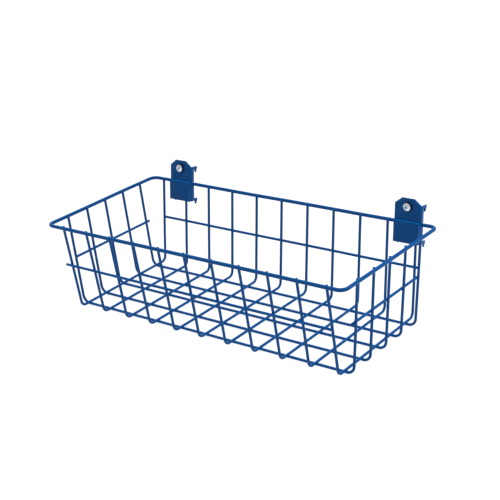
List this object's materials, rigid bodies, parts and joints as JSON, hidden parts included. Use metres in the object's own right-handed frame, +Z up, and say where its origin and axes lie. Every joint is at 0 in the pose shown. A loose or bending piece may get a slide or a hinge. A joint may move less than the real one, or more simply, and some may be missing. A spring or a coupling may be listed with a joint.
{
  "type": "wire locker basket",
  "caption": "Rectangular welded wire basket with a thick rim and folded brackets at the back, whose claws hook into a perforated panel and lock with screws.",
  "frame": {"origin": "under the middle of the overall box, at the height of the lengthwise floor wires' undersides", "axes": "+Z up when the basket stands on its floor wires, +X along its length, +Y towards the panel"},
  "size_m": [0.3856, 0.1905, 0.1292],
  "materials": {
    "blue_wire": "deep blue powder coat, satin gloss, on steel wire",
    "blue_sheet": "deep blue powder coat, satin gloss, on folded steel sheet",
    "zinc_screw": "bright zinc plated steel",
    "black_washer": "matt black nylon"
  },
  "bodies": {
    "basket": {"rim_wire": "blue_wire", "cross_wire_01": "blue_wire", "cross_wire_02": "blue_wire", "cross_wire_03": "blue_wire", "cross_wire_04": "blue_wire", "cross_wire_05": "blue_wire", "cross_wire_06": "blue_wire", "cross_wire_07": "blue_wire", "cross_wire_08": "blue_wire", "cross_wire_09": "blue_wire", "cross_wire_10": "blue_wire", "cross_wire_11": "blue_wire", "long_wire_1": "blue_wire", "long_wire_2": "blue_wire", "long_wire_3": "blue_wire", "long_wire_4": "blue_wire", "long_wire_5": "blue_wire", "front_mid_wire": "blue_wire", "back_mid_wire": "blue_wire", "left_mid_wire": "blue_wire", "right_mid_wire": "blue_wire", "left_bracket": "blue_sheet", "right_bracket": "blue_sheet"},
    "left_washer": {"left_washer": "black_washer"},
    "left_lock_screw": {"left_lock_screw": "zinc_screw"},
    "right_washer": {"right_washer": "black_washer"},
    "right_lock_screw": {"right_lock_screw": "zinc_screw"}
  },
  "joints": [
    {"name": "left_screw_feed", "type": "slide", "parent": "basket", "child": "left_washer", "axis": [0, -0.9921, 0.1253], "range_m": [0, 0.0048]},
    {"name": "left_screw_turn", "type": "hinge", "parent": "left_washer", "child": "left_lock_screw", "pos_m": [-0.1464, 0.08335, 0.12041], "axis": [0, -0.9921, 0.1253], "range_deg": [0, 2160]},
    {"name": "right_screw_feed", "type": "slide", "parent": "basket", "child": "right_washer", "axis": [0, -0.9921, 0.1253], "range_m": [0, 0.0048]},
    {"name": "right_screw_turn", "type": "hinge", "parent": "right_washer", "child": "right_lock_screw", "pos_m": [0.1576, 0.08335, 0.12041], "axis": [0, -0.9921, 0.1253], "range_deg": [0, 2160]}
  ],
  "couplings": [
    {"joint": "left_screw_feed", "follows": "left_screw_turn", "m_per_rad": 0.00012732},
    {"joint": "right_screw_feed", "follows": "right_screw_turn", "m_per_rad": 0.00012732}
  ]
}
